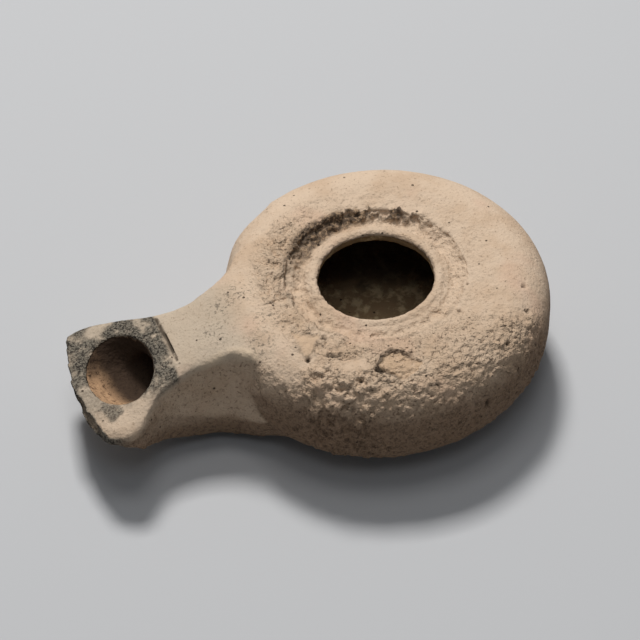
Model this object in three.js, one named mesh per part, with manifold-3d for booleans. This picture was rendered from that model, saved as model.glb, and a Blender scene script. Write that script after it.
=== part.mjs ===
// Terracotta oil lamp of the knife-pared kind: a squat bowl thrown on the wheel and closed over round a
// filling hole, with a spatula nozzle added by hand, pared hollow along both sides and pierced for the
// wick. Fired, it is one piece of clay, hollow all the way from the filling hole to the wick hole.
// Millimetres. The origin is the centre of the flat base, +Z is up, and the nozzle points along -X.
// The near side is -Y and the far side +Y. Distances along the nozzle are measured from the origin.
import * as THREE from "three";
import { mergeVertices } from "three/addons/utils/BufferGeometryUtils.js";
import Module from "manifold-3d";

const wasm = await Module();
wasm.setup();

// Bowl
const BOWL_RADIUS = 31.3; // along the nozzle; across it the bowl is pressed a little narrower
const BOWL_SQUEEZE = 0.95;
const BASE_RADIUS = 15.2;
const BELLY_HEIGHT = 13.0; // of the widest line
const SHOULDER_HEIGHT = 25.2;
const SHOULDER_ROUND = 8.6; // radius of the turn from the belly to the shoulder

// Filling hole, with a thin raised lip and a channel round it
const HOLE_OFFSET = 1.0; // the mouth was drawn this far towards the nozzle
const HOLE_RADIUS = 10.9;
const HOLE_FLARE = 0.5; // how much the hole's radius opens from its throat to the top of the lip
const LIP_HEIGHT = 24.8;
const LIP_WIDTH = 1.6;
const CHANNEL_DEPTH = 1.3;
const CHANNEL_WIDTH = 2.7;
const BANK_WIDTH = 1.3; // of the slope from the channel up to the shoulder
const LIP_EDGE = HOLE_RADIUS + LIP_WIDTH;
const CHANNEL_EDGE = LIP_EDGE + CHANNEL_WIDTH;
const BANK_EDGE = CHANNEL_EDGE + BANK_WIDTH;

// Walls
const BOWL_WALL = 3.2;
const FLOOR_WALL = 3.8;
const LIP_WALL = 2.2;

// Nozzle: its top slopes down to the tip, where it spreads
const NOZZLE_LENGTH = 59.0;
const NECK_AT = 34.5;
const NECK_TOP = 22.2;
const NEAR_NECK_HALF = 6.7; // widths of the top from its middle line to each side, at the neck
const FAR_NECK_HALF = 7.6;
const NECK_THICKNESS = 19.3;
const ROOT_LENGTH = 9.5; // from the neck back to where the top runs out on the shoulder
const ROOT_SPREAD = 4.6;
const ROOT_UNDER_SPREAD = 5.0; // of the underside at the root, which goes on growing into the bowl
const ROOT_BURIED = 12.0; // how far the block runs back inside the bowl's outline
const ROOT_SINK = 0.5; // fall of the top for each millimetre behind the root
const ROOT_FALL = 0.1; // of the top's sides at the root, growing with the square of the distance
const TOP_SLOPE = 0.29;
const TOP_CROWN = 0.35;
const TIP_THICKNESS = 1.5;
const TIP_RADIUS = 27.0; // of the arc of the tip, seen from above
const NEAR_TIP_HALF = 14.3; // and at the tip's corners
const FAR_TIP_HALF = 12.8;
const EDGE_WEAR = 1.2; // rounding of the edge between the top and the pared sides
const UNDER_SPREAD = 1.8; // how far the underside stands out past the top's edge, at the neck
const UNDER_ROUND = 3.2; // how far it bulges below its own edges
const UNDER_SHARE = 0.45; // the most of the height above the table that the bulge may fill
const LOWER_BOW = 0.4; // outward bow of the side below the keel

// Paring of the two sides: a leaning face down to a keel, ending in a hollow against the bowl
const PARED_LEAN = 0.25; // outwards for each millimetre down
const PARED_DEPTH = 11.8; // of the keel below the top, at the neck
const NEAR_SCOOP_RADIUS = 8.0;
const NEAR_SCOOP_AT = 34.5;
const FAR_SCOOP_RADIUS = 13.4;
const FAR_SCOOP_AT = 35.2;
const SCOOP_FOOT = 2.0; // how far the hollows reach below the keel
const OVERRUN = 4.0; // of a cut past the clay

// Wick hole, and the passage from it to the bowl
const WICK_AT = 50.1;
const WICK_LENGTH = 12.8;
const WICK_WIDTH = 16.2;
const WICK_DEPTH = 6.4;
const PASSAGE_WIDTH = 9.2;
const PASSAGE_HEIGHT = 7.6;
const PASSAGE_FLOOR = 8.4; // its height where it leaves the bowl
const PASSAGE_RISE = 1.6;

// Line cut with a point across the top of the nozzle
const LINE_AT = 40.5;
const LINE_WIDTH = 0.8;
const LINE_DEPTH = 0.6;
const LINE_FAR = 7.2; // its far end; the near end is its length away
const LINE_LENGTH = 10.4;

const FACETS = 72; // round the bowl
const CLAY = new THREE.MeshStandardMaterial({ color: 0xb79a80, roughness: 0.93, metalness: 0 });

function solidOf(geometry) {
  const bare = geometry.clone();
  bare.deleteAttribute("normal");
  bare.deleteAttribute("uv");
  const merged = mergeVertices(bare, 1e-4);
  return new wasm.Manifold(
    new wasm.Mesh({
      numProp: 3,
      vertProperties: merged.attributes.position.array,
      triVerts: new Uint32Array(merged.index.array),
    }),
  );
}

function geometryOf(solid) {
  const mesh = solid.getMesh();
  const geometry = new THREE.BufferGeometry();
  geometry.setAttribute("position", new THREE.BufferAttribute(mesh.vertProperties, 3));
  geometry.setIndex(new THREE.BufferAttribute(mesh.triVerts, 1));
  geometry.computeVertexNormals();
  return geometry;
}

// Points of an arc in the plane of radius and height. Its radius may differ up from out.
function arc(centreX, centreY, radiusX, radiusY, from, to, steps) {
  return Array.from({ length: steps + 1 }, (_, i) => {
    const angle = THREE.MathUtils.degToRad(THREE.MathUtils.lerp(from, to, i / steps));
    return new THREE.Vector2(centreX + radiusX * Math.cos(angle), centreY + radiusY * Math.sin(angle));
  });
}

// A solid turned from a profile of radius and height. Round the mouth it is drawn towards the nozzle.
function turned(profile) {
  const geometry = new THREE.LatheGeometry(profile, FACETS);
  geometry.rotateX(Math.PI / 2);
  const places = geometry.attributes.position;
  for (let i = 0; i < places.count; i += 1) {
    const radius = Math.hypot(places.getX(i), places.getY(i));
    const inwards = 1 - THREE.MathUtils.smoothstep(radius, BANK_EDGE, BOWL_RADIUS);
    const raised = places.getZ(i) > BELLY_HEIGHT ? 1 : 0;
    places.setX(i, places.getX(i) - HOLE_OFFSET * inwards * raised);
  }
  geometry.scale(1, BOWL_SQUEEZE, 1);
  return solidOf(geometry);
}

// The bowl's outside: base, round wall, shoulder, channel and lip, closed flat across the filling hole.
function bowlOutside() {
  const wallReach = BOWL_RADIUS - BASE_RADIUS;
  const turnAt = BOWL_RADIUS - SHOULDER_ROUND;
  const turnRise = SHOULDER_HEIGHT - SHOULDER_ROUND;
  const channelFloor = LIP_HEIGHT - CHANNEL_DEPTH;
  return turned([
    new THREE.Vector2(0, 0),
    ...arc(BASE_RADIUS, BELLY_HEIGHT, wallReach, BELLY_HEIGHT, -90, 0, 10),
    ...arc(turnAt, turnRise, SHOULDER_ROUND, SHOULDER_ROUND, 0, 90, 9),
    new THREE.Vector2(BANK_EDGE, LIP_HEIGHT),
    new THREE.Vector2(CHANNEL_EDGE, channelFloor + CHANNEL_DEPTH * 0.15),
    new THREE.Vector2(CHANNEL_EDGE - CHANNEL_WIDTH * 0.35, channelFloor),
    new THREE.Vector2(LIP_EDGE + CHANNEL_WIDTH * 0.25, channelFloor + CHANNEL_DEPTH * 0.27),
    new THREE.Vector2(LIP_EDGE, LIP_HEIGHT - LIP_WIDTH * 0.3),
    new THREE.Vector2(LIP_EDGE - LIP_WIDTH * 0.45, LIP_HEIGHT),
    new THREE.Vector2(0, LIP_HEIGHT),
  ]);
}

// The bowl's hollow: the outside drawn in by the walls, and the filling hole up through the lip.
function bowlHollow() {
  const radius = BOWL_RADIUS - BOWL_WALL;
  const roof = SHOULDER_HEIGHT - BOWL_WALL;
  const turn = SHOULDER_ROUND - BOWL_WALL;
  const wallRise = BELLY_HEIGHT - FLOOR_WALL;
  const wallReach = radius - BASE_RADIUS;
  const underLip = LIP_HEIGHT - LIP_WALL;
  const throat = HOLE_RADIUS - HOLE_FLARE / 2;
  const mouth = HOLE_RADIUS + HOLE_FLARE / 2;
  return turned([
    new THREE.Vector2(0, FLOOR_WALL),
    ...arc(BASE_RADIUS, BELLY_HEIGHT, wallReach, wallRise, -90, 0, 7),
    ...arc(radius - turn, roof - turn, turn, turn, 0, 90, 5),
    new THREE.Vector2(CHANNEL_EDGE, underLip - CHANNEL_DEPTH),
    new THREE.Vector2(LIP_EDGE, underLip - CHANNEL_DEPTH),
    new THREE.Vector2(throat, underLip),
    new THREE.Vector2(throat, LIP_HEIGHT - LIP_WIDTH * 0.3),
    new THREE.Vector2(mouth, LIP_HEIGHT),
    new THREE.Vector2(mouth, LIP_HEIGHT + OVERRUN),
    new THREE.Vector2(0, LIP_HEIGHT + OVERRUN),
  ]);
}

// A value that runs smoothly through [place, value] pairs, and stays level past the last ones.
function along(pairs) {
  const curve = new THREE.SplineCurve(pairs.map(([place, value]) => new THREE.Vector2(place, value)));
  const points = curve.getPoints(pairs.length * 20);
  return (place) => {
    const next = points.findIndex((point) => point.x >= place);
    if (next === 0) return points[0].y;
    if (next < 0) return points.at(-1).y;
    const [a, b] = [points[next - 1], points[next]];
    return THREE.MathUtils.mapLinear(place, a.x, b.x, a.y, b.y);
  };
}

// How the nozzle changes along its length, which runs from 0 at the neck to 1 at the tip and below 0
// where it spreads into the bowl. The flare is how much of the way to the tip's full width has been
// reached; the rest are shares of the depths at the neck.
const flareNear = along([
  [0.1, 0],
  [0.24, 0.04],
  [0.44, 0.22],
  [0.62, 0.6],
  [0.8, 0.96],
  [0.9, 1],
  [1, 0.82],
]);
const flareFar = along([
  [0, 0],
  [0.17, 0.07],
  [0.28, 0.2],
  [0.46, 0.52],
  [0.64, 0.77],
  [0.9, 1],
  [1, 0.93],
]);
const paring = along([
  [0, 1],
  [0.16, 0.81],
  [0.28, 0.62],
  [0.41, 0.41],
  [0.53, 0.2],
  [0.65, 0.09],
  [1, 0.07],
]);
const thinning = along([
  [-0.5, 1.12],
  [0, 1],
  [0.18, 0.88],
  [0.31, 0.76],
  [0.44, 0.6],
  [0.58, 0.37],
  [0.7, 0.12],
  [0.8, 0.03],
  [0.9, 0],
]);

const NEAR = {
  sign: -1,
  neckHalf: NEAR_NECK_HALF,
  tipHalf: NEAR_TIP_HALF,
  flare: flareNear,
  scoopRadius: NEAR_SCOOP_RADIUS,
  scoopAt: NEAR_SCOOP_AT,
};
const FAR = {
  sign: 1,
  neckHalf: FAR_NECK_HALF,
  tipHalf: FAR_TIP_HALF,
  flare: flareFar,
  scoopRadius: FAR_SCOOP_RADIUS,
  scoopAt: FAR_SCOOP_AT,
};

const reachOf = (share) => THREE.MathUtils.lerp(NECK_AT, NOZZLE_LENGTH, share);
const shareOf = (reach) => (reach - NECK_AT) / (NOZZLE_LENGTH - NECK_AT);
const topHeight = (reach) => NECK_TOP - TOP_SLOPE * (reach - NECK_AT);

// Where the block of clay runs into the bowl it is left wide, for the scoops to cut.
const rootSpread = (reach) => ROOT_SPREAD * THREE.MathUtils.smoothstep(NECK_AT - reach, 0, ROOT_LENGTH);
const rootUnderSpread = (reach) => ROOT_UNDER_SPREAD * Math.max(0, (NECK_AT - reach) / ROOT_LENGTH) ** 1.3;

// Half of a cross-section of the nozzle, from the middle of its top down to the middle of its underside.
function halfSection(share, { sign, neckHalf, tipHalf, flare }) {
  const tipBow = THREE.MathUtils.smoothstep(share, 0.1, 1) / (2 * TIP_RADIUS);
  const middle = reachOf(share);
  const flared = neckHalf + (tipHalf - neckHalf) * flare(share);
  const ridge = flared + rootSpread(middle);
  const keelDrop = PARED_DEPTH * paring(share);
  const keel = ridge + PARED_LEAN * keelDrop + 0.2 * rootSpread(middle);
  const edge = flared + UNDER_SPREAD * thinning(share) + rootUnderSpread(middle);
  const side = (keel + edge) / 2 + LOWER_BOW * thinning(share);
  const place = (across, height) => {
    const reach = middle - tipBow * across * across;
    return [-reach, sign * across, height(reach)];
  };
  const thick = (reach) => THREE.MathUtils.lerp(TIP_THICKNESS, NECK_THICKNESS, thinning(shareOf(reach)));
  const top = (reach, across) => {
    const sunk = ROOT_SINK * Math.max(0, NECK_AT - ROOT_LENGTH - reach);
    const outer = Math.max(0, across - neckHalf) ** 2;
    const fall = ROOT_FALL * THREE.MathUtils.smoothstep(NECK_AT - reach, 0, ROOT_LENGTH / 2);
    return topHeight(reach) - sunk - fall * outer;
  };
  const under = (reach) => topHeight(reach) - thick(reach);
  const flatter = (reach) => 1 - THREE.MathUtils.smoothstep(shareOf(reach), 0.7, 1);
  const bulge = (reach) => flatter(reach) * Math.min(UNDER_ROUND, UNDER_SHARE * under(reach));
  const wear = (reach) => Math.min(EDGE_WEAR, 0.3 * thick(reach));
  const pared = (reach) => top(reach, ridge) - wear(reach);
  const keelHeight = (reach) => Math.max(pared(reach) - keelDrop, under(reach) + 0.3 * thick(reach));
  return [
    place(ridge * 0.5, (reach) => top(reach, ridge * 0.5) + TOP_CROWN * 0.75),
    place(ridge - EDGE_WEAR, (reach) => top(reach, ridge - EDGE_WEAR)),
    place(ridge - EDGE_WEAR * 0.25, (reach) => top(reach, ridge) - wear(reach) * 0.35),
    place(ridge, pared),
    place((ridge + keel) / 2, (reach) => (pared(reach) + keelHeight(reach)) / 2),
    place(keel, keelHeight),
    place(side, (reach) => (keelHeight(reach) + under(reach)) / 2),
    place(edge, under),
    place(edge * 0.9, (reach) => under(reach) - 0.2 * bulge(reach)),
    place(edge * 0.5, (reach) => under(reach) - 0.8 * bulge(reach)),
  ];
}

// A closed body through rows of points, one row to a cross-section, with both ends fanned shut.
function lofted(rows) {
  const count = rows[0].length;
  const positions = rows.flat(2);
  const index = [];
  for (let r = 0; r + 1 < rows.length; r += 1) {
    for (let i = 0; i < count; i += 1) {
      const next = (i + 1) % count;
      const [a, b, c, d] = [r * count + i, r * count + next, (r + 1) * count + next, (r + 1) * count + i];
      index.push(a, b, c, a, c, d);
    }
  }
  for (const row of [0, rows.length - 1]) {
    const middle = positions.length / 3;
    for (const axis of [0, 1, 2]) positions.push(rows[row].reduce((sum, p) => sum + p[axis], 0) / count);
    for (let i = 0; i < count; i += 1) {
      const [a, b] = [row * count + i, row * count + ((i + 1) % count)];
      index.push(middle, ...(row === 0 ? [b, a] : [a, b]));
    }
  }
  const geometry = new THREE.BufferGeometry();
  geometry.setAttribute("position", new THREE.Float32BufferAttribute(positions, 3));
  geometry.setIndex(index);
  return solidOf(geometry);
}

// The nozzle's block of clay, from inside the bowl's wall to the tip.
function nozzleBlock() {
  const steps = 28;
  const start = shareOf(BOWL_RADIUS - ROOT_BURIED);
  return lofted(
    Array.from({ length: steps + 1 }, (_, i) => {
      const share = THREE.MathUtils.lerp(start, 1, i / steps);
      const far = halfSection(share, FAR);
      const near = halfSection(share, NEAR).reverse();
      const middleTop = [-reachOf(share), 0, (far[0][2] + near.at(-1)[2]) / 2 + TOP_CROWN * 0.25];
      const middleUnder = [-reachOf(share), 0, (far.at(-1)[2] + near[0][2]) / 2];
      return [middleTop, ...far, middleUnder, ...near];
    }),
  );
}

// The hollow that the knife left where each pared side met the bowl: a cone leaning as the side does.
function scoop({ sign, neckHalf, scoopRadius, scoopAt }) {
  const up = SHOULDER_HEIGHT + OVERRUN;
  const down = NECK_TOP - PARED_DEPTH - SCOOP_FOOT;
  const wide = scoopRadius + PARED_LEAN * (up - NECK_TOP);
  const narrow = scoopRadius - PARED_LEAN * (NECK_TOP - down);
  const cone = new THREE.CylinderGeometry(wide, narrow, up - down, 48);
  cone.rotateX(Math.PI / 2);
  cone.translate(-scoopAt, sign * (neckHalf + scoopRadius), (up + down) / 2);
  return solidOf(cone);
}

// The passage from the bowl to the wick hole.
function passage() {
  const section = new THREE.Shape();
  section.absellipse(0, 0, PASSAGE_HEIGHT / 2, PASSAGE_WIDTH / 2, 0, 2 * Math.PI);
  const middle = PASSAGE_FLOOR + PASSAGE_HEIGHT / 2;
  const path = new THREE.LineCurve3(
    new THREE.Vector3(-(BOWL_RADIUS - BOWL_WALL - PASSAGE_HEIGHT), 0, middle),
    new THREE.Vector3(-(WICK_AT - WICK_LENGTH * 0.06), 0, middle + PASSAGE_RISE),
  );
  return solidOf(new THREE.ExtrudeGeometry(section, { steps: 1, extrudePath: path, curveSegments: 14 }));
}

// The wick hole: ovals that shrink as they go down and draw back from the tip, so its floor slopes up.
function wickHole() {
  const sides = 36;
  const oval = (depth, size, back) =>
    Array.from({ length: sides }, (_, i) => {
      const angle = (2 * Math.PI * i) / sides;
      const reach = WICK_AT + (WICK_LENGTH / 2) * (size * Math.cos(angle) - back);
      const across = (WICK_WIDTH / 2) * size * Math.sin(angle);
      return [-reach, across, topHeight(reach) + TOP_CROWN - depth];
    });
  return lofted([
    oval(-EDGE_WEAR * 2, 1.07, 0),
    oval(0, 0.98, 0),
    oval(WICK_DEPTH * 0.3, 0.86, 0.1),
    oval(WICK_DEPTH * 0.6, 0.72, 0.26),
    oval(WICK_DEPTH * 0.85, 0.58, 0.38),
    oval(WICK_DEPTH, 0.44, 0.42),
  ]);
}

// The cut line: a bar with a pointed foot, laid level across the nozzle.
function cutLine() {
  const top = topHeight(LINE_AT);
  const tool = new THREE.Shape([
    new THREE.Vector2(-LINE_AT, top + TOP_CROWN - LINE_DEPTH),
    new THREE.Vector2(-LINE_AT + LINE_WIDTH / 2, top + TOP_CROWN),
    new THREE.Vector2(-LINE_AT + LINE_WIDTH / 2, top + OVERRUN),
    new THREE.Vector2(-LINE_AT - LINE_WIDTH / 2, top + OVERRUN),
    new THREE.Vector2(-LINE_AT - LINE_WIDTH / 2, top + TOP_CROWN),
  ]);
  const bar = new THREE.ExtrudeGeometry(tool, { depth: LINE_LENGTH, bevelEnabled: false });
  bar.rotateX(Math.PI / 2);
  bar.translate(0, LINE_FAR, 0);
  return solidOf(bar);
}

const clay = bowlOutside()
  .add(nozzleBlock())
  .subtract(scoop(NEAR))
  .subtract(scoop(FAR))
  .subtract(bowlHollow())
  .subtract(passage())
  .subtract(wickHole())
  .subtract(cutLine());

const lamp = new THREE.Mesh(geometryOf(clay), CLAY);
lamp.name = "lamp";

const group = new THREE.Group();
group.name = "oil_lamp";
group.add(lamp);
export default group;
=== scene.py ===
# Terracotta oil lamp: a bowl thrown on the wheel, a nozzle luted on and pared with a knife, fired once.
# Soot, grit and lime crust are as found. Sizes are in mm, times MM for the scene's metres; the nozzle
# points along -X, and the side nearer to the camera, called the near side, is -Y.
import math

import bpy
import numpy as np
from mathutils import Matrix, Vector, noise
from mathutils.bvhtree import BVHTree


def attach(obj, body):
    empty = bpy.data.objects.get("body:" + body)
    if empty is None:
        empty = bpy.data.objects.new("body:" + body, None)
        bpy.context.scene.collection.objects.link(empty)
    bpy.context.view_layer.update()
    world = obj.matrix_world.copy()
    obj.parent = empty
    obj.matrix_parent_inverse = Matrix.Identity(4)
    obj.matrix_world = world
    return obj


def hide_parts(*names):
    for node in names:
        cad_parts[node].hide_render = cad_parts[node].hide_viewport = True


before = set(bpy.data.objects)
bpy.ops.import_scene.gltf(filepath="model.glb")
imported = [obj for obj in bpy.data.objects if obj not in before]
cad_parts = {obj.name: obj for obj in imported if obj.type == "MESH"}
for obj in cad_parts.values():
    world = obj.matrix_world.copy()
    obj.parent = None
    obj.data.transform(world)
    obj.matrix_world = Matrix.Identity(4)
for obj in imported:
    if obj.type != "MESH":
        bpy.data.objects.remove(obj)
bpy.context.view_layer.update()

MM = 0.001

# Camera
# Above the near side and a little round towards the nozzle, through a long lens, aimed to one side of
# the filling hole so that the lamp stands where it does in the picture.
hole_middle = Vector((-1.0, 0, 24.8)) * MM
azimuth, elevation = math.radians(-21), math.radians(49)
camera_distance, focal_length = 620, 192.6
aim_left, aim_down = 9.98, 8.38
back = Vector(
    (
        math.sin(azimuth) * math.cos(elevation),
        -math.cos(azimuth) * math.cos(elevation),
        math.sin(elevation),
    )
)
rightwards = Vector((math.cos(azimuth), math.sin(azimuth), 0))
upwards = back.cross(rightwards)
aim = hole_middle - rightwards * aim_left * MM - upwards * aim_down * MM
bpy.ops.object.camera_add(location=hole_middle + back * camera_distance * MM)
camera = bpy.context.object
camera.name = "camera"
camera.rotation_euler = (camera.location - aim).to_track_quat("Z", "Y").to_euler()
camera.data.sensor_width = 36
camera.data.lens = focal_length
camera.data.clip_start = 0.01
bpy.context.scene.camera = camera

# Table and light
# A plain pale table. The soft key light stands high behind the lamp, a second one overhead keeps the
# top even, and a weak cool fill above the near side opens the shadows.


def colour(code):
    """An sRGB hex colour as linear RGBA."""
    channels = [int(code[i : i + 2], 16) / 255 for i in (1, 3, 5)]
    linear = [c / 12.92 if c <= 0.04045 else ((c + 0.055) / 1.055) ** 2.4 for c in channels]
    return (*linear, 1)


table_size = 4
bpy.ops.mesh.primitive_plane_add(size=table_size)
table = bpy.context.object
table.name = "table"
table_paint = bpy.data.materials.new("table_paint")
table_paint.use_nodes = True
table_shader = table_paint.node_tree.nodes["Principled BSDF"]
table_shader.inputs["Base Color"].default_value = colour("#bcbdbf")
table_shader.inputs["Roughness"].default_value = 0.9
table.data.materials.append(table_paint)


def soft_light(name, place, size, power, tint):
    """A square soft light that faces the filling hole."""
    bpy.ops.object.light_add(type="AREA", location=place)
    light = bpy.context.object
    light.name = name
    light.data.size = size
    light.data.energy = power
    light.data.color = tint
    light.rotation_euler = (light.location - hole_middle).to_track_quat("Z", "Y").to_euler()


soft_light("key_light", place=(0.02, 0.45, 0.90), size=0.2, power=8.9, tint=(1.0, 0.985, 0.965))
soft_light("top_light", place=(-0.02, 0.05, 1.1), size=0.35, power=1.5, tint=(1.0, 0.99, 0.98))
soft_light("fill_light", place=(-0.15, -0.42, 1.05), size=0.3, power=0.8, tint=(0.93, 0.96, 1.0))
world = bpy.context.scene.world or bpy.data.worlds.new("studio")
bpy.context.scene.world = world
world.use_nodes = True
room = world.node_tree.nodes["Background"]
room.inputs["Color"].default_value = (0.80, 0.86, 0.92, 1)
room.inputs["Strength"].default_value = 0.13
bpy.context.scene.view_settings.view_transform = "Standard"

# Bowl
# Terracotta that fires buff, thrown on the wheel: a flat base, a round wall, and a shoulder closed in
# over the oil to a filling hole that has a thin raised lip with a channel round it.
bowl_radius, bowl_squeeze = 31.3, 0.95
base_radius, belly_height, shoulder_height, shoulder_round = 15.2, 13.0, 25.2, 8.6
hole_offset, hole_radius, hole_flare = 1.0, 10.9, 0.5
lip_height, lip_width = 24.8, 1.6
channel_depth, channel_width, bank_width = 1.3, 2.7, 1.3
lip_edge = hole_radius + lip_width
channel_edge = lip_edge + channel_width
bank_edge = channel_edge + bank_width


def arc(middle, radii, start, end, steps):
    """Points of an arc in radius and height, from one angle to the other in degrees."""
    turn = [math.radians(start + (end - start) * i / steps) for i in range(steps + 1)]
    return [(middle[0] + radii[0] * math.cos(a), middle[1] + radii[1] * math.sin(a)) for a in turn]


def select_only(piece):
    """Makes one piece the selected and the active one."""
    bpy.ops.object.select_all(action="DESELECT")
    piece.select_set(True)
    bpy.context.view_layer.objects.active = piece


def ramp(value, low, high):
    """0 below low and 1 above high, turning smoothly between them; low may be the greater."""
    part = np.clip((value - low) / (high - low), 0, 1)
    return part * part * (3 - 2 * part)


wheel_steps = 160


def thrown(name, profile):
    """A body turned on the wheel from radius and height, its mouth drawn over towards the nozzle."""
    mesh = bpy.data.meshes.new(name)
    edges = [(i, i + 1) for i in range(len(profile) - 1)]
    mesh.from_pydata([(radius * MM, 0, height * MM) for radius, height in profile], edges, [])
    body = bpy.data.objects.new(name, mesh)
    bpy.context.collection.objects.link(body)
    select_only(body)
    bpy.ops.object.mode_set(mode="EDIT")
    bpy.ops.mesh.select_all(action="SELECT")
    bpy.ops.mesh.spin(steps=wheel_steps, angle=2 * math.pi, center=(0, 0, 0), axis=(0, 0, 1))
    bpy.ops.mesh.select_all(action="SELECT")
    bpy.ops.mesh.remove_doubles(threshold=0.01 * MM)
    bpy.ops.mesh.normals_make_consistent(inside=False)
    bpy.ops.object.mode_set(mode="OBJECT")
    for point in body.data.vertices:
        radius = point.co.xy.length / MM
        inwards = 1 - ramp(radius, bank_edge, bowl_radius)
        if point.co.z > belly_height * MM:
            point.co.x -= hole_offset * inwards * MM
        point.co.y *= bowl_squeeze
    return body


# Up the wall, over the shoulder, down the bank into the channel, and up over the lip. Points on the
# bank, in the channel and on the lip lie at shares of its width and depth. An arc that follows
# another starts a little past its end, so that no two points fall together.
channel_floor = lip_height - channel_depth
lamp = thrown(
    "fired_clay_lamp",
    [
        (0, 0),
        *arc((base_radius, belly_height), (bowl_radius - base_radius, belly_height), -90, 0, 22),
        *arc(
            (bowl_radius - shoulder_round, shoulder_height - shoulder_round),
            (shoulder_round, shoulder_round),
            3,
            90,
            20,
        ),
        (bank_edge, lip_height + 0.1),
        (channel_edge + 0.4 * bank_width, lip_height - 0.5 * channel_depth),
        (channel_edge, channel_floor + 0.2),
        (channel_edge - channel_width * 0.35, channel_floor),
        (lip_edge + channel_width * 0.25, channel_floor + 0.35),
        (lip_edge, lip_height - lip_width * 0.3),
        (lip_edge - lip_width * 0.45, lip_height),
        (0, lip_height),
    ],
)

# Nozzle
# A block of the same clay luted to the bowl's wall, its top sloping down to a tip that spreads like
# the end of a spatula. It is a skin over cross-sections, each a little further from the bowl.
nozzle_length, neck_at, neck_top = 59.0, 34.5, 22.2
neck_thickness, tip_thickness = 19.3, 2.4
top_slope, top_crown, tip_radius = 0.29, 0.35, 27.0
edge_wear, under_spread, under_round, lower_bow = 1.2, 1.8, 3.2, 0.4
root_length, root_spread, root_under_spread, root_buried = 9.5, 4.6, 5.0, 12.0
root_sink, root_fall, under_share = 0.5, 0.1, 0.45
pared_lean, pared_depth = 0.25, 11.8
near = {"sign": -1, "neck": 6.7, "tip": 14.3, "scoop": 8.0, "scoop_at": 34.5}
far = {"sign": 1, "neck": 7.6, "tip": 12.8, "scoop": 13.4, "scoop_at": 35.2}


def through(*pairs):
    """A value that runs smoothly through (place, value) pairs and stays level past the last ones."""
    places, values = np.array(pairs, float).T
    slopes = np.gradient(values, places)
    slopes[0] = slopes[-1] = 0

    def at(place):
        place = min(max(place, places[0]), places[-1])
        i = min(int(np.searchsorted(places, place, side="right")) - 1, len(places) - 2)
        gap = places[i + 1] - places[i]
        t = (place - places[i]) / gap
        return (
            (2 * t**3 - 3 * t**2 + 1) * values[i]
            + (t**3 - 2 * t**2 + t) * gap * slopes[i]
            + (3 * t**2 - 2 * t**3) * values[i + 1]
            + (t**3 - t**2) * gap * slopes[i + 1]
        )

    return at


# Each runs from the neck at 0 to the tip at 1; the root in the bowl's wall lies below 0.
near["flare"] = through(
    (0.1, 0), (0.24, 0.04), (0.44, 0.22), (0.62, 0.62), (0.78, 0.95), (0.88, 0.98), (1, 0.78)
)
far["flare"] = through(
    (0, 0), (0.17, 0.07), (0.28, 0.2), (0.46, 0.52), (0.64, 0.77), (0.9, 1), (1, 0.93)
)
keel_drop = through(
    (0, 1), (0.16, 0.81), (0.28, 0.62), (0.41, 0.41), (0.53, 0.2), (0.65, 0.09), (1, 0.07)
)
thinning = through(
    *((-0.5, 1.12), (0, 1), (0.18, 0.88), (0.31, 0.76), (0.44, 0.6), (0.58, 0.37)),
    *((0.7, 0.12), (0.8, 0.03), (0.9, 0)),
)


def reach_of(share):
    """How far out a share of the nozzle lies, in mm from the bowl's middle."""
    return neck_at + (nozzle_length - neck_at) * share


def top_at(reach):
    """The height of the nozzle's sloping top."""
    return neck_top - top_slope * (reach - neck_at)


def half_section(share, side):
    """Half of a cross-section, from beside the middle of the top down to beside the middle below."""
    middle = reach_of(share)
    bow = ramp(share, 0.1, 1) / (2 * tip_radius)
    root = root_spread * ramp(neck_at - middle, 0, root_length)
    root_under = root_under_spread * max(0, (neck_at - middle) / root_length) ** 1.3
    flared = side["neck"] + (side["tip"] - side["neck"]) * side["flare"](share)
    ridge = flared + root
    drop = pared_depth * keel_drop(share)
    keel = ridge + pared_lean * drop + 0.2 * root
    edge = flared + under_spread * thinning(share) + root_under
    points = []

    def place(across, height):
        reach = middle - bow * across * across
        thin = thinning((reach - neck_at) / (nozzle_length - neck_at))
        thick = tip_thickness + (neck_thickness - tip_thickness) * thin
        sunk = root_sink * max(0, neck_at - root_length - reach)
        outer = max(0, across - side["neck"]) ** 2
        top = top_at(reach) - sunk - root_fall * outer * ramp(neck_at - reach, 0, root_length / 2)
        under = top_at(reach) - thick
        bulge = min(under_round, under_share * under) * (
            1 - ramp((reach - neck_at) / (nozzle_length - neck_at), 0.7, 1)
        )
        wear = min(edge_wear, 0.3 * thick)
        keel_height = max(top - wear - drop, under + 0.3 * thick)
        points.append(
            (-reach, side["sign"] * across, height(top, under, wear, keel_height, bulge, thick))
        )

    place(ridge * 0.5, lambda top, *_: top + top_crown * 0.75)
    place(ridge - edge_wear, lambda top, *_: top)
    place(ridge - edge_wear * 0.25, lambda top, under, wear, *_: top - wear * 0.35)
    place(ridge, lambda top, under, wear, *_: top - wear)
    place((ridge + keel) / 2, lambda top, under, wear, low, *_: (top - wear + low) / 2)
    place(keel, lambda top, under, wear, low, *_: low)
    place(
        (keel + edge) / 2 + lower_bow * thinning(share),
        lambda top, under, wear, low, *_: (low + under) / 2,
    )
    place(edge, lambda top, under, *_: under)
    place(edge * 0.9, lambda top, under, wear, low, bulge, thick: under - 0.2 * bulge)
    place(edge * 0.5, lambda top, under, wear, low, bulge, thick: under - 0.8 * bulge)
    return points


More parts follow.
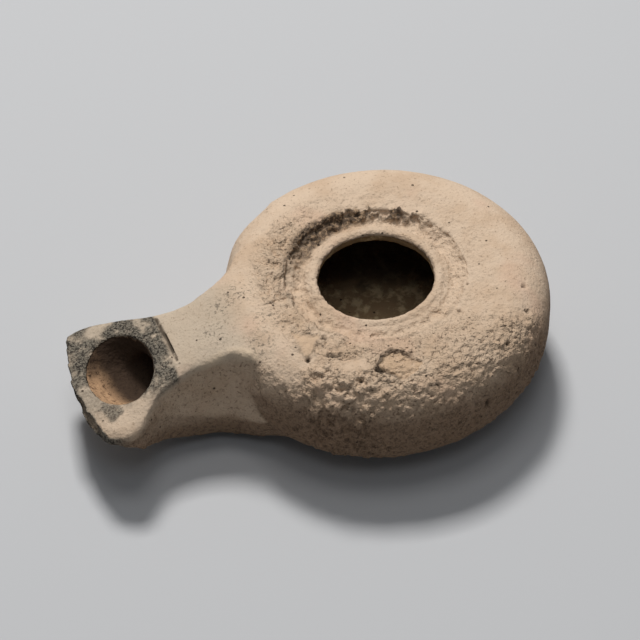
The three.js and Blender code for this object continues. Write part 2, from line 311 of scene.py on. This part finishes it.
def skinned(name, rows):
    """A closed body over rows of points in mm, with each end row filled."""
    count = len(rows[0])
    points = [Vector(p) * MM for row in rows for p in row]
    faces = [tuple(range(count))[::-1], tuple((len(rows) - 1) * count + i for i in range(count))]
    for r in range(len(rows) - 1):
        for i in range(count):
            j = (i + 1) % count
            faces.append((r * count + i, r * count + j, (r + 1) * count + j, (r + 1) * count + i))
    mesh = bpy.data.meshes.new(name)
    mesh.from_pydata(points, [], faces)
    body = bpy.data.objects.new(name, mesh)
    bpy.context.collection.objects.link(body)
    select_only(body)
    bpy.ops.object.mode_set(mode="EDIT")
    bpy.ops.mesh.select_all(action="SELECT")
    bpy.ops.mesh.normals_make_consistent(inside=False)
    bpy.ops.object.mode_set(mode="OBJECT")
    return body


rows = []
sections = 66
root_share = (bowl_radius - root_buried - neck_at) / (nozzle_length - neck_at)
for step in range(sections + 1):
    share = root_share + (1 - root_share) * step / sections
    far_half, near_half = half_section(share, far), half_section(share, near)[::-1]
    reach = reach_of(share)
    top_middle = (-reach, 0, (far_half[0][2] + near_half[-1][2]) / 2 + top_crown * 0.25)
    under_middle = (-reach, 0, (far_half[-1][2] + near_half[0][2]) / 2)
    rows.append([top_middle, *far_half, under_middle, *near_half])
nozzle = skinned("nozzle_block", rows)


def boolean(body, tool, kind):
    """Joins or cuts body with tool, which is used up."""
    select_only(body)
    change = body.modifiers.new(kind.lower(), "BOOLEAN")
    change.operation, change.object, change.solver = kind, tool, "EXACT"
    bpy.ops.object.modifier_apply(modifier=change.name)
    bpy.data.objects.remove(tool)


boolean(lamp, nozzle, "UNION")

# Paring
# Before firing a knife took both sides of the nozzle down to a keel, and its turn against the bowl
# left a hollow at each side, which leans outwards as the pared sides do.
knife_above, knife_below = 4, 2
for side in (near, far):
    high, low = shoulder_height + knife_above, neck_top - pared_depth - knife_below
    bpy.ops.mesh.primitive_cone_add(
        vertices=96,
        radius1=(side["scoop"] - pared_lean * (neck_top - low)) * MM,
        radius2=(side["scoop"] + pared_lean * (high - neck_top)) * MM,
        depth=(high - low) * MM,
        location=(
            -side["scoop_at"] * MM,
            side["sign"] * (side["neck"] + side["scoop"]) * MM,
            (high + low) / 2 * MM,
        ),
    )
    boolean(lamp, bpy.context.object, "DIFFERENCE")

# Hollows
# The oil's chamber inside the bowl, the passage from it along the nozzle, and the big wick hole cut
# down into the spread end, whose floor slopes up to the tip.
bowl_wall, floor_wall, lip_wall = 3.2, 3.8, 2.2
inner = bowl_radius - bowl_wall
roof, turn = shoulder_height - bowl_wall, shoulder_round - bowl_wall
under_lip = lip_height - lip_wall
chamber = thrown(
    "chamber",
    [
        (0, floor_wall),
        *arc((base_radius, belly_height), (inner - base_radius, belly_height - floor_wall), -90, 0, 16),
        *arc((inner - turn, roof - turn), (turn, turn), 3, 90, 12),
        (lip_edge + channel_width, under_lip - channel_depth),
        (lip_edge, under_lip - channel_depth),
        (hole_radius - hole_flare / 2, under_lip),
        (hole_radius - hole_flare / 2, lip_height - lip_width * 0.3),
        (hole_radius + hole_flare / 2, lip_height),
        (hole_radius + hole_flare / 2, lip_height + bowl_wall),
        (0, lip_height + bowl_wall),
    ],
)
chamber_wall = BVHTree.FromObject(chamber, bpy.context.evaluated_depsgraph_get())
boolean(lamp, chamber, "DIFFERENCE")

wick_at, wick_length, wick_width, wick_depth = 50.1, 12.8, 16.2, 6.4
passage_width, passage_height, passage_floor, passage_rise = 9.2, 7.6, 8.4, 1.6
passage_middle, passage_end = passage_floor + passage_height / 2, wick_at - wick_length * 0.2
start = Vector((-(inner - passage_height), 0, passage_middle)) * MM
end = Vector((-passage_end, 0, passage_middle + passage_rise)) * MM
bpy.ops.mesh.primitive_cylinder_add(
    vertices=64, radius=1, depth=(end - start).length, location=(start + end) / 2
)
passage = bpy.context.object
passage.rotation_euler = (end - start).to_track_quat("Z", "Y").to_euler()
passage.scale = (passage_width / 2 * MM, passage_height / 2 * MM, 1)
bpy.context.view_layer.update()
select_only(passage)
bpy.ops.object.transform_apply()
passage_wall = BVHTree.FromObject(passage, bpy.context.evaluated_depsgraph_get())
boolean(lamp, passage, "DIFFERENCE")

# The wick hole, from above the rim down to the floor: how deep, how big as a share of the opening,
# and how far it is drawn towards the bowl as a share of half its length.
rows = []
wick_points = 72
for depth, size, shift in (
    (-2 * edge_wear, 1.07, 0),
    (0, 0.98, 0),
    (wick_depth * 0.3, 0.86, 0.1),
    (wick_depth * 0.6, 0.72, 0.26),
    (wick_depth * 0.85, 0.58, 0.38),
    (wick_depth, 0.44, 0.42),
):
    row = []
    for i in range(wick_points):
        angle = 2 * math.pi * i / wick_points
        reach = wick_at + wick_length / 2 * (size * math.cos(angle) - shift)
        across = wick_width / 2 * size * math.sin(angle)
        row.append((-reach, across, top_at(reach) + top_crown - depth))
    rows.append(row)
wick_tool = skinned("wick_hole", rows)
wick_wall = BVHTree.FromObject(wick_tool, bpy.context.evaluated_depsgraph_get())
boolean(lamp, wick_tool, "DIFFERENCE")

# Cut line
# One stroke across the top of the nozzle, behind the wick hole, pressed into the soft clay with the
# knife's edge. The tool is a bar that stands on its edge, so the stroke is V-shaped.
line_at, line_depth, line_far, line_length = 40.5, 0.6, 7.2, 10.4
line_middle = line_far - line_length / 2
bpy.ops.mesh.primitive_cube_add(
    size=1,
    location=(-line_at * MM, line_middle * MM, (top_at(line_at) + top_crown) * MM),
)
stroke = bpy.context.object
stroke.rotation_euler = (0, math.radians(45), 0)
stroke.scale = (line_depth * MM, line_length * MM, line_depth * MM)
boolean(lamp, stroke, "DIFFERENCE")

# One clay
# The joins are worked together under wet fingers, and handling has rounded every edge, most of all
# where the two hollows run out on the bowl's side.
face_size = 0.66
lamp.data.remesh_voxel_size = face_size * MM
select_only(lamp)
bpy.ops.object.voxel_remesh()


def soften(middle, around, times_over):
    """Rounds the clay within that many mm of a place."""
    bpy.ops.object.mode_set(mode="EDIT")
    bpy.ops.mesh.select_mode(type="VERT")
    bpy.ops.mesh.select_all(action="DESELECT")
    bpy.ops.object.mode_set(mode="OBJECT")
    for point in lamp.data.vertices:
        point.select = (point.co / MM - Vector(middle)).length < around
    bpy.ops.object.mode_set(mode="EDIT")
    bpy.ops.mesh.vertices_smooth(factor=0.5, repeat=times_over)
    bpy.ops.object.mode_set(mode="OBJECT")


# Once all over, then where the far hollow runs out, at the tip, under the neck, where the near hollow
# runs out, at the corner below that, and at the floor and the front wall of the wick hole.
soften(middle=(0, 0, 12), around=70, times_over=1)
soften(middle=(-21.5, 22, 17), around=10.5, times_over=90)
soften(middle=(-62, 0, 15), around=16, times_over=5)
soften(middle=(-42, 0, 2), around=17, times_over=4)
soften(middle=(-22, -19, 15), around=7.5, times_over=18)
soften(middle=(-22, -15, 3.5), around=5.5, times_over=16)
soften(middle=(-49.5, -2, 11), around=6.8, times_over=22)
soften(middle=(-56.2, -2.5, 15.5), around=3.2, times_over=6)

# The clay is given finer faces where its skin is rough: round the mouth, along the near shoulder, and
# on the nozzle's end; finest of all at the stroke and the scar.
ring_reach, ring_bottom = 23, 22.6
band_bottom, band_far_edge, band_end, belly_clear = 6.5, -12, -28, 19
end_begins, end_bottom = -38.5, 12
scar_x, scar_y, scar_reach = -4.2, -21.2, 4.6


def refine(chosen):
    """Halves the edges of the faces that are chosen by their middles, in mm, and their upward tilt."""
    bpy.ops.object.mode_set(mode="EDIT")
    bpy.ops.mesh.select_all(action="DESELECT")
    bpy.ops.mesh.select_mode(type="FACE")
    bpy.ops.object.mode_set(mode="OBJECT")
    for face in lamp.data.polygons:
        face.select = bool(chosen(*(face.center / MM), face.normal.z))
    bpy.ops.object.mode_set(mode="EDIT")
    bpy.ops.mesh.subdivide(number_cuts=1, smoothness=0.6)
    bpy.ops.mesh.select_mode(type="VERT")
    bpy.ops.object.mode_set(mode="OBJECT")


def in_rough_skin(x, y, z, tilt):
    """Round the mouth, along the near shoulder or on the nozzle's end, where it doesn't look down."""
    round_mouth = z > ring_bottom and math.hypot(x + hole_offset, y) < ring_reach
    near_shoulder = z > band_bottom and y < band_far_edge and x > band_end and x * 0.35 + y < -10
    near_shoulder = near_shoulder and math.hypot(x, y) > belly_clear
    nozzle_end = x < end_begins and z > end_bottom and tilt > 0.2
    return (round_mouth or near_shoulder) and tilt > -0.2 or nozzle_end


def at_stroke_or_scar(x, y, z, _):
    """At the cut line or at the larger flake scar."""
    at_stroke = abs(x + line_at) < 1.4 and abs(y - line_middle) < line_length / 2 + 1 and z > 18
    return at_stroke or (math.hypot(x - scar_x, y - scar_y) < scar_reach and z > 22.5)


refine(in_rough_skin)
refine(at_stroke_or_scar)
bpy.ops.object.shade_smooth()

# Wear
# Pits, lime crust, chips and a scar, where the real one has them. The same marks are kept as amounts
# at each point, from 0 to 1, for the finish. Places are in mm, angles in degrees round the mouth.
count = len(lamp.data.vertices)
places = np.empty(count * 3)
lamp.data.vertices.foreach_get("co", places)
places = places.reshape(-1, 3) / MM
normals = np.empty(count * 3)
lamp.data.vertices.foreach_get("normal", normals)
normals = normals.reshape(-1, 3)
upward = normals[:, 2]
x, y, z = places.T.copy()
radius = np.hypot(x + hole_offset, y / bowl_squeeze)
angle = np.degrees(np.arctan2(y, x + hole_offset))
reach = -x
below_top = top_at(reach) - z


def distance_to(wall):
    """How far each point lies from the wall of a hollow, in mm."""
    return np.array([wall.find_nearest(Vector(p) * MM)[3] for p in places]) / MM


# A point belongs to a hollow where it still lies on the hollow's wall.
on_wall, off_wall = 0.4, 0.8
in_chamber = ramp(distance_to(chamber_wall), off_wall, on_wall) * (z < lip_height - 0.9) * (reach < 29)
in_passage = ramp(distance_to(passage_wall), off_wall, on_wall) * (below_top > 1.2) * (reach > 20)
in_wick = ramp(distance_to(wick_wall), off_wall, on_wall) * (below_top > 0.35)
in_oval = ramp(np.hypot((reach - wick_at) / wick_length, y / wick_width) * 2, 1.0, 0.88)
in_wick = np.maximum(in_wick, in_oval * ramp(below_top, 0.7, 1.3) * (upward > -0.35))
outside = (1 - in_chamber) * (1 - in_wick) * (1 - in_passage)


def lumps(size, octaves, seed):
    """Noise of about -1 to 1 at each point, in lumps of about that size in mm."""
    start = Vector((seed * 7.31, seed * 3.77, seed * 5.13))
    return np.array([noise.fractal(Vector(p) / size + start, 0.8, 2.1, octaves) for p in places])


def within(*corners):
    """How far each point is inside an outline seen from above, in mm, and below 0 outside it."""
    nearest = np.full(count, 1e9)
    odd = np.zeros(count, bool)
    for (x0, y0), (x1, y1) in zip(corners, corners[1:] + corners[:1]):
        part = ((x - x0) * (x1 - x0) + (y - y0) * (y1 - y0)) / ((x1 - x0) ** 2 + (y1 - y0) ** 2)
        part = np.clip(part, 0, 1)
        gap = np.hypot(x - x0 - part * (x1 - x0), y - y0 - part * (y1 - y0))
        nearest = np.minimum(nearest, gap)
        odd ^= ((y0 > y) != (y1 > y)) & (x < (x1 - x0) * (y - y0) / (y1 - y0 + 1e-9) + x0)
    return np.where(odd, nearest, -nearest)


swell = lumps(size=14, octaves=2, seed=1)
medium = lumps(size=2.4, octaves=3, seed=2)
fine = lumps(size=1.1, octaves=3, seed=3)
sandy = lumps(size=0.75, octaves=2, seed=4)
flaky = ramp(lumps(size=1.7, octaves=3, seed=5), -0.1, 0.2) - 0.5
upper = z > 17

# Rough skin: in a ring round the mouth, most of all towards the nozzle, and in a wide band along the
# near side. The far side and the right keep their smooth slip, and so does a patch between the flakes.
ring_band = ramp(radius, bank_edge - 0.5, bank_edge + 1) * ramp(radius, 25, 20) * upper
towards_nozzle = ramp(reach, 4, 14) * ramp(reach, 24, 20)
near_side = ramp(y, -8, -18)
near_or_nozzle = np.maximum(near_side, towards_nozzle)
shoulder_band = ramp(y, -14, -19) * ramp(z, 4.5, 9) * ramp(reach, 31, 22)
in_channel = ramp(radius, lip_edge - 0.1, lip_edge + 0.9) * ramp(radius, bank_edge + 0.5, bank_edge - 0.5)
in_channel = in_channel * upper
on_lip = ramp(radius, hole_radius - 0.7, hole_radius - 0.1) * ramp(radius, lip_edge + 0.7, lip_edge + 0.1)
on_lip = on_lip * upper
pared = ramp(y, -4, -7) * ramp(reach, 22, 27) * ramp(below_top, 0.8, 2.5)
rough = ring_band * (0.25 + 0.6 * towards_nozzle + 0.45 * near_side + 0.3 * ramp(angle, 70, 110))
rough = rough + shoulder_band + 0.8 * pared + 0.08
rough = np.clip((rough + 0.5 * in_channel + 0.3 * on_lip) * (0.85 + 0.4 * medium), 0, 1) * outside
smooth_patch = within((-15, -17), (-9, -16.5), (-9.5, -20.5), (-15, -20))
rough *= 1 - 0.75 * ramp(smooth_patch, -0.5, 1.5)

# Lime and earth have set hard in the far half of the channel, in patches.
crust_arc = ramp(angle, 15, 55) * ramp(angle, 172, 145)
crust_inner = channel_edge - 0.6 - 1.3 * ramp(angle, 75, 115) - 0.5 * medium
crust = crust_arc * ramp(radius - crust_inner, 0, 0.8) * ramp(radius, bank_edge + 2.1, bank_edge + 0.3)
crust = crust * upper * outside
crust_patches = medium + 0.7 * fine - 0.5 * ramp(radius, bank_edge - 0.5, bank_edge + 1.5)
crust *= ramp(crust_patches + 0.8 * ramp(angle, 60, 100), -0.4, 0.1)

# A flake has sprung off the near shoulder, and a smaller one beside it towards the nozzle.
scar_depth = within(
    *((-8.1, -19.8), (-6.3, -18.2), (-4.5, -17.9), (-2.8, -18.9), (-1.7, -20.3)),
    *((-0.1, -22.4), (-2.6, -24.0), (-4.9, -24.5), (-6.2, -23.1), (-7.4, -21.8)),
)
scar_depth = np.where(upper, scar_depth + 0.35 * medium + 0.2 * fine, -9)
scar = ramp(scar_depth, -0.1, 0.25) * outside
scar_rim = ramp(np.abs(scar_depth), 0.5, 0.12) * ramp(x - 0.8 * y, 16.5, 12.0) * upper * outside
scar_rim *= ramp(fine, -0.9, -0.1)
flake_depth = within((-20.1, -7.6), (-15.0, -10.0), (-17.7, -13.2), (-19.3, -14.8), (-19.9, -12.4))
flake_depth = flake_depth + 0.5 * medium + 0.4 * fine
flake = ramp(flake_depth, -0.2, 0.5) * upper * outside
flake_rim = ramp(np.abs(flake_depth), 0.5, 0.1) * ramp(y, -10, -13) * upper * outside
rough *= (1 - 0.2 * scar) * (1 - 0.6 * flake)

# Pits where a grain of temper fell out: the middle of each and about half its width.
pits = np.zeros(count)
for middle, wide in (
    ((-14.6, -15.4, 25.2), 0.75),
    ((-13.8, -15.9, 25.2), 0.5),
    ((-15.5, -15.2, 25.2), 0.5),
    ((-14.9, -10.9, 25.0), 0.6),
    ((-19.3, -14.9, 25.0), 0.5),
    ((-8.1, -21.4, 25.1), 0.8),
    ((-14.7, -8.4, 25.0), 0.5),
    ((-11.8, -22.1, 24.6), 0.4),
    ((23.4, -10.8, 24.3), 0.35),
    ((10.1, -27.8, 15.8), 0.5),
    ((13.7, -7.5, 25.2), 0.3),
    ((22.1, -16.1, 23.6), 0.32),
    ((10.1, -13.1, 24.9), 0.3),
    ((16.1, -21.8, 22.9), 0.32),
):
    apart = (np.stack([x, y, z], 1) - middle) * (1, 1, 0.4)
    from_middle = np.linalg.norm(apart, axis=1) + 0.25 * fine
    pits = np.maximum(pits, ramp(from_middle, wide * 1.3, wide * 0.5))
pits *= outside

# The cut line, drawn again a little aslant, with the clay that it pushed up along one side.
stroke_slant = 0.04 * (y - line_middle) + 0.12 * medium
stroke_gap = np.abs(reach - line_at - stroke_slant)
stroke_ends = ramp(y, 7.5, 7.0) * ramp(y, -4.2, -3.4) * (below_top < 1.5)
line = ramp(stroke_gap, 0.36, 0.1) * stroke_ends * ramp(fine, -1.0, -0.4)
line_bank = ramp(np.abs(reach - line_at - 0.85 - stroke_slant), 0.5, 0.1) * stroke_ends

# The knife left a sharp arris where the near hollow meets the nozzle's top, since crumbled a little.
scoop_wall = near["scoop"] + pared_lean * (z - neck_top)
to_scoop = np.hypot(reach - near["scoop_at"], y + near["neck"] + near["scoop"]) - scoop_wall
arris = ramp(np.abs(to_scoop - 0.15), 0.9, 0.2) * ramp(below_top, 2.4, 1.2) * outside
arris *= ramp(reach, 24, 28) * ramp(medium, -1.0, 0.0)

# The bank is chipped along its top, and the channel's side below it is worn back.
ring_edge = ramp(np.abs(radius - (bank_edge - 0.3) - 0.35 * medium), 0.8, 0.2) * upper * outside
step_in = ramp(radius + 0.35 * medium, bank_edge + 0.3, bank_edge - 0.3)
step_in = step_in * ramp(radius, lip_edge + 0.4, lip_edge + 1.2) * upper * outside

# Every mark raises or sinks the skin by so many mm. The near half of the channel is silted up, the
# tip's worn rim is thicker than the pared block, and the foot stays flat on the table.
crumbled = np.clip(rough - 0.6 * pared, 0, 1)
tip_rim = ramp(reach, 50, 54) * ramp(upward, 0.6, 0.2) * outside
lift = 0.08 * swell * outside
lift += crumbled * (0.14 * medium + 0.2 * fine + 0.28 * sandy + 0.16 * flaky * (1 + 3 * towards_nozzle))
lift += crust * (0.45 + 0.45 * fine + 0.25 * sandy)
lift += 0.45 * in_channel * ramp(y, -2, -9) * outside
lift -= step_in * np.clip(0.3 - 0.25 * medium, 0, 0.5)
lift -= 0.34 * scar + 0.4 * scar_rim + 0.16 * flake + 0.25 * flake_rim
lift -= 0.8 * pits + 0.42 * line - 0.15 * line_bank
lift -= ring_edge * np.clip(0.28 - 0.5 * medium, 0, 0.6) * (0.4 + 0.6 * near_or_nozzle)
lift += arris * (0.22 + 0.15 * fine) + 0.3 * tip_rim + in_wick * 0.12 * fine + in_chamber * 0.15 * medium
places += normals * lift[:, None]
foot_height = 1.2
places[:, 2] = np.where(z < foot_height, np.maximum(places[:, 2], 0), places[:, 2])
lamp.data.vertices.foreach_set("co", (places * MM).ravel())
lamp.data.update()

# Soot: thick on the tip's rim and between the wick hole and the stroke, worn through on the near
# strip and on a patch of the far corner, thinner along the tip's near half, with one spot left on the
# near strip. Inside, painted shade darkens the passage and the far and back walls of the wick hole.
worn_strip = ramp(y, -6.5, -9.5) * ramp(reach, 58, 55)
worn_corner = ramp(np.hypot(reach - 51.5, (y - 10.6) * 1.6) + 1.2 * medium, 3.6, 1.6)
thin_tip = ramp(y, 2, -3) * ramp(reach, 50, 53) * ramp(reach, 58.5, 57.5)
rim_soot = ramp(upward, 0.65, 0.25) * ramp(reach, 51, 56)
below_strip = ramp(y, -5, -8) * ramp(below_top, 0.8, 2.0) * ramp(reach, 52, 48)
near_spot = ramp(np.hypot(x + 54.0, (y + 7.4) * 0.8) + 1.4 * medium, 2.3, 1.0)
soot = ramp(reach, line_at + 0.1, line_at + 0.8) * outside * ramp(below_top, 5, 3)
soot *= (1 - 0.8 * worn_strip) * (1 - 0.8 * worn_corner) * (1 - 0.55 * thin_tip)
soot = np.maximum(soot * ramp(medium + 0.5 * fine, -1.0, 0.1), rim_soot) * (1 - below_strip)
soot = np.maximum(soot, 0.85 * near_spot) * outside
# Painted shade: dark up the passage and on the far and back walls of the wick hole.
back_wall = ramp(reach - 0.35 * y + 0.4 * medium, 54.0, 49.5)
wick_painted_shade = np.maximum(back_wall, 0.9 * ramp(y + 0.8 * medium, 0.0, 5.5)) * np.maximum(in_wick, in_passage)
wick_painted_shade = np.clip(wick_painted_shade + in_passage * ramp(reach, 48, 46), 0, 1)

# Earth: grit in five spots on the neck, dust on its top, and on the low near side a brown stain with
# painted shade, darker where the clay faces down, weaker in the shelter of the near hollow.
grit = np.zeros(count)
for spot_x, spot_y in ((-32, -2), (-26, 4.5), (-26, -8), (-23, -3), (-30, 3)):
    from_spot = np.hypot(x - spot_x, y - spot_y) + 0.8 * medium
    grit = np.maximum(grit, ramp(from_spot, 4.0, 1.0) * (below_top < 3))
dust = ramp(reach, 24, 31) * ramp(below_top, 2.5, 1.0) * (1 - 0.8 * ramp(y, -5, -8) * ramp(reach, 43, 48))
sheltered = ramp(reach, 22, 30) * ramp(upward, -0.1, 0.2)
# Painted shade with the earth stain: darker where the near side faces down.
low_stain_and_shade = ramp(upward, 0.85, -0.1) * ramp(y, 6, -8) * (1 - 0.75 * sheltered) * outside

# Painted shade in the crease along the top of the bank, on the near and nozzle sides.
ring_crease_shade = 0.45 * ring_edge * near_or_nozzle * ramp(sandy, 0.4, -0.4)
marks = {
    "rough": rough,
    "dust": dust,
    "grit": grit,
    "low_stain_and_shade": low_stain_and_shade,
    "scar": scar * ramp(sandy, -1.1, 0.1) + 0.8 * flake,
    # the arris, lighter: a painted highlight
    "arris": arris,
    # crust colour, stronger on the far side: crust with painted shade on the channel's far wall
    "crust": crust * (0.35 + 0.65 * ramp(angle, 25, 60) * ramp(angle, 155, 120)),
    "soot": soot,
    "wick_floor": np.maximum(in_wick, in_passage),
    "wick_painted_shade": wick_painted_shade,
    "chamber": in_chamber * (1 - in_passage),
    # painted shade, darkest at the chamber's far wall
    "chamber_painted_shade": in_chamber * ramp(y + 0.35 * x + 1.5 * medium, 12, 19),
    # pits, flake rims and cut line darkened, with painted shade on the scar's far rim and the bank's
    # crease
    "dark_marks_and_shade": pits + 0.75 * scar_rim + 0.5 * flake_rim + line + ring_crease_shade,
}
for name, amount in marks.items():
    kept = lamp.data.attributes.new(name, "FLOAT", "POINT")
    kept.data.foreach_set("value", np.clip(amount, 0, 1).astype(np.float32))

# Finish
# Buff-fired clay with a matt, gritty skin: pitted and crumbling where it is worn, browner on the low
# near side with an earth stain and painted shade, grey-black with lamp soot about the wick hole.
fired_clay = bpy.data.materials.new("fired_clay")
fired_clay.use_nodes = True
tree = fired_clay.node_tree
shader = tree.nodes["Principled BSDF"]


def add_node(kind, inputs, output, **settings):
    """A node with its settings and inputs; gives back the named output."""
    made = tree.nodes.new("ShaderNode" + kind)
    for key, value in settings.items():
        setattr(made, key, value)
    for key, value in inputs.items():
        if isinstance(value, bpy.types.NodeSocket):
            tree.links.new(value, made.inputs[key])
        else:
            made.inputs[key].default_value = value
    return made.outputs[output]


where = add_node("TexCoord", {}, "Object")
marked = {name: add_node("Attribute", {}, "Fac", attribute_name=name) for name in marks}

# The grains of the clay and of what is on it: size in mm, how many finer octaves, and how strong each
# is beside the last. Real sand and soot are finer, and are drawn as coarse as they need to show.
grains = {
    "kiln_cloud": (8, 4, 0.6),
    "blush": (13, 2, 0.6),
    "speck": (0.5, 3, 0.65),
    "dimple": (3, 3, 0.6),
    "tooth": (0.5, 3, 0.6),
    "sand": (0.6, 2, 0.55),
    "crumb": (1.5, 3, 0.6),
    "grit": (0.6, 4, 0.7),
    "stain": (0.9, 5, 0.75),
    "crust_and_shade": (0.8, 4, 0.7),
    "soot": (0.4, 3, 0.65),
    "soot_gap": (1.2, 6, 0.8),
    "soot_crust": (0.6, 3, 0.65),
    "scorch": (0.7, 5, 0.8),
    "oil": (3.2, 4, 0.65),
    "hole_patch": (5, 2, 0.6),
}
for name, (size, octaves, strength) in grains.items():
    inputs = {"Vector": where, "Scale": 1 / (size * MM), "Detail": octaves, "Roughness": strength}
    grains[name] = add_node("TexNoise", inputs, "Fac")

# Pinholes of about 0.4 mm, a few mm apart, which come in patches.
hole_spacing = 2.3
to_hole = add_node("TexVoronoi", {"Vector": where, "Scale": 1 / (hole_spacing * MM)}, "Distance")
shown = []
for value, none, full in ((to_hole, 0.12, 0.06), (grains["hole_patch"], 0.49, 0.56)):
    inputs = {"Value": value, "From Min": none, "From Max": full}
    shown.append(add_node("MapRange", inputs, "Result", interpolation_type="SMOOTHSTEP"))
marked["pinhole"] = add_node("Math", {0: shown[0], 1: shown[1]}, 0, operation="MULTIPLY")


def coat(below, above, share=1.0, mark=None, grain=None, none=0, full=1):
    """Lays a colour over another by a share, kept to a mark and broken up by a grain where given:
    the grain lets nothing through at the value none, and all at the value full."""
    amount = share
    if mark:
        amount = add_node("Math", {0: marked[mark], 1: amount}, 0, operation="MULTIPLY")
    if grain:
        inputs = {"Value": grains[grain], "From Min": none, "From Max": full}
        through_grain = add_node("MapRange", inputs, "Result", interpolation_type="SMOOTHSTEP")
        amount = add_node("Math", {0: through_grain, 1: amount}, 0, operation="MULTIPLY")
    return add_node("Mix", {0: amount, 6: below, 7: above}, 2, data_type="RGBA")


# The clay itself: two buffs in clouds, grey dust, a pink blush from the kiln, dark specks of temper.
clay = coat(colour("#d1baa2"), colour("#c6ac92"), grain="kiln_cloud", none=0.4, full=0.66)
clay = coat(clay, colour("#b8aa97"), 0.7, mark="dust")
clay = coat(clay, colour("#cfab93"), 0.45, grain="blush", none=0.52, full=0.72)
clay = coat(clay, colour("#7a6350"), 0.6, grain="speck", none=0.60, full=0.70)

# Where the slip is gone, duller, with painted shade between grains; then grit, the stain and painted
# shade.
clay = coat(clay, colour("#b89f85"), 0.5, mark="rough")
clay = coat(clay, colour("#5b493a"), 0.75, mark="rough", grain="sand", none=0.40, full=0.32)
clay = coat(clay, colour("#5d564c"), 0.7, mark="grit", grain="grit", none=0.52, full=0.6)
clay = coat(clay, colour("#7d644e"), 0.86, mark="low_stain_and_shade")
clay = coat(clay, colour("#413227"), 0.5, mark="low_stain_and_shade", grain="stain", none=0.5, full=0.6)

# Fresh clay in the scar, a painted highlight on the arris, and the crust, partly painted shade.
clay = coat(clay, colour("#bfa284"), 0.8, mark="scar")
clay = coat(clay, colour("#d6c0a4"), 0.6, mark="arris")
crust_and_shade = coat(colour("#3f3228"), colour("#997f64"), grain="crust_and_shade", none=0.46, full=0.62)
clay = coat(clay, crust_and_shade, 0.92, mark="crust")

# Soot on the tip, scorched clay in the wick hole with painted shade up the passage and on its far
# and back walls, and the oily chamber with painted shade, darkest at its far wall.
soot_colour = coat(colour("#342f2a"), colour("#7f776a"), grain="soot", none=0.40, full=0.58)
clay = coat(clay, soot_colour, mark="soot", grain="soot_gap", none=0.28, full=0.44)
burnt = coat(colour("#b08d6c"), colour("#5a4330"), grain="scorch", none=0.52, full=0.62)
clay = coat(clay, burnt, mark="wick_floor")
clay = coat(clay, colour("#2e221a"), 0.95, mark="wick_painted_shade")
oily = coat(colour("#a08564"), colour("#dfc69c"), grain="oil", none=0.48, full=0.64)
clay = coat(clay, oily, 0.98, mark="chamber")
clay = coat(clay, colour("#2a2119"), 0.9, mark="chamber_painted_shade")

# Darker pits, cut line, flake rims and pinholes; painted shade on the scar's far rim and the bank's
# crease.
clay = coat(clay, colour("#2b221a"), 0.88, mark="dark_marks_and_shade")
clay = coat(clay, colour("#38291e"), 0.85, mark="pinhole")
tree.links.new(clay, shader.inputs["Base Color"])

# Unglazed clay has almost no shine.
shader.inputs["Roughness"].default_value = 0.93
shader.inputs["IOR"].default_value = 1.5
shader.inputs["Specular IOR Level"].default_value = 0.25

# Relief too fine for the mesh, each layer on top of the last: soft dimples and tooth all over, sand
# and crumbs in the rough skin, crusts of soot, and the pinholes. The last number is its depth in mm.
relief = None
for height, kept_to, depth in (
    (grains["dimple"], 1, 0.32),
    (grains["tooth"], 1, 0.2),
    (grains["sand"], marked["rough"], 0.55),
    (grains["crumb"], marked["rough"], 0.6),
    (grains["soot_crust"], marked["soot"], 0.5),
    (marked["pinhole"], -1, 0.3),
):
    height = add_node("Math", {0: height, 1: kept_to}, 0, operation="MULTIPLY")
    inputs = {"Strength": 1.0, "Distance": depth * MM, "Height": height}
    if relief is not None:
        inputs["Normal"] = relief
    relief = add_node("Bump", inputs, "Normal")
tree.links.new(relief, shader.inputs["Normal"])
lamp.data.materials.clear()
lamp.data.materials.append(fired_clay)

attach(lamp, "root")
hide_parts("lamp")
